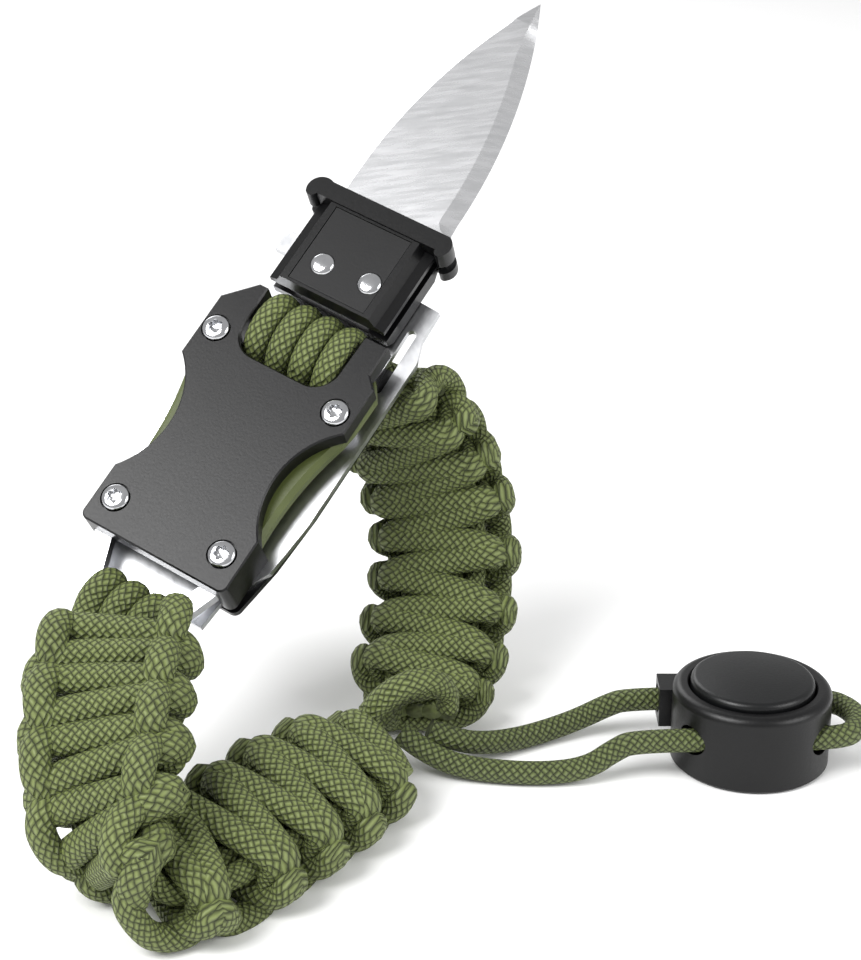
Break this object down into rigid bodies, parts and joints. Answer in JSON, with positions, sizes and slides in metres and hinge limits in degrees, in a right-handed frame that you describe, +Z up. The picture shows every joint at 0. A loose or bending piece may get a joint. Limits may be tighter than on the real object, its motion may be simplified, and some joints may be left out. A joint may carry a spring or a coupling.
{
  "type": "cord bracelet with buckle knife",
  "caption": "Woven cord bracelet whose black and steel buckle docks a short knife, with a drawcord and a push-button cord lock.",
  "frame": {"origin": "on the ground, under the middle of the bracelet's box measured without the drawcord and cord lock", "axes": "+Z up from the ground, +X along the drawcord towards the cord lock, +Y away from the buckle's lower end"},
  "size_m": [0.1249, 0.1187, 0.1064],
  "materials": {
    "black_coated_steel": "satin black coating",
    "black_panel": "fine matte black coating",
    "bright_steel": "satin",
    "blade_steel": "fine satin ground",
    "polished_steel": "polished",
    "olive_moulding": "smooth moulded",
    "black_acetal": "fine matte moulded",
    "black_button": "satin moulded",
    "olive_cord": "braided nylon sheath",
    "olive_drawcord": "braided nylon sheath"
  },
  "bodies": {
    "bracelet": {"front_plate": "black_coated_steel", "liner_rail_left": "olive_moulding", "liner_rail_right": "olive_moulding", "strap_plate": "bright_steel", "rear_plate": "bright_steel", "back_cover": "black_coated_steel", "plate_screws": "polished_steel", "barrel_nuts": "polished_steel", "spacer_bushes": "bright_steel", "upper_loop_cords": "olive_cord", "lower_loop_cords": "olive_cord", "strap_a_upper": "olive_cord", "strap_a_lower": "olive_cord", "strap_b": "olive_cord", "end_loop": "olive_cord", "drawcord": "olive_drawcord"},
    "knife": {"blade": "blade_steel", "grip_front": "black_coated_steel", "grip_panel": "black_panel", "grip_rear": "black_coated_steel", "collar_front": "black_coated_steel", "collar_rear": "black_coated_steel", "grip_rivets": "polished_steel"},
    "cord_lock": {"lock_body": "black_acetal", "lock_base": "black_acetal", "lock_spring": "bright_steel"},
    "push_button": {"lock_button": "black_button"}
  },
  "joints": [
    {"name": "knife_slide", "type": "slide", "parent": "bracelet", "child": "knife", "axis": [0.5221, 0.5656, 0.6384], "range_m": [0, 0.03]},
    {"name": "lock_slide", "type": "slide", "parent": "bracelet", "child": "cord_lock", "axis": [-1, 0, 0], "range_m": [0, 0.004]},
    {"name": "button_press", "type": "slide", "parent": "cord_lock", "child": "push_button", "axis": [0, 0, -1], "range_m": [0, 0.0018], "stiffness_N_per_m": 800, "springref_m": -0.001, "deforming": ["lock_spring"]}
  ]
}
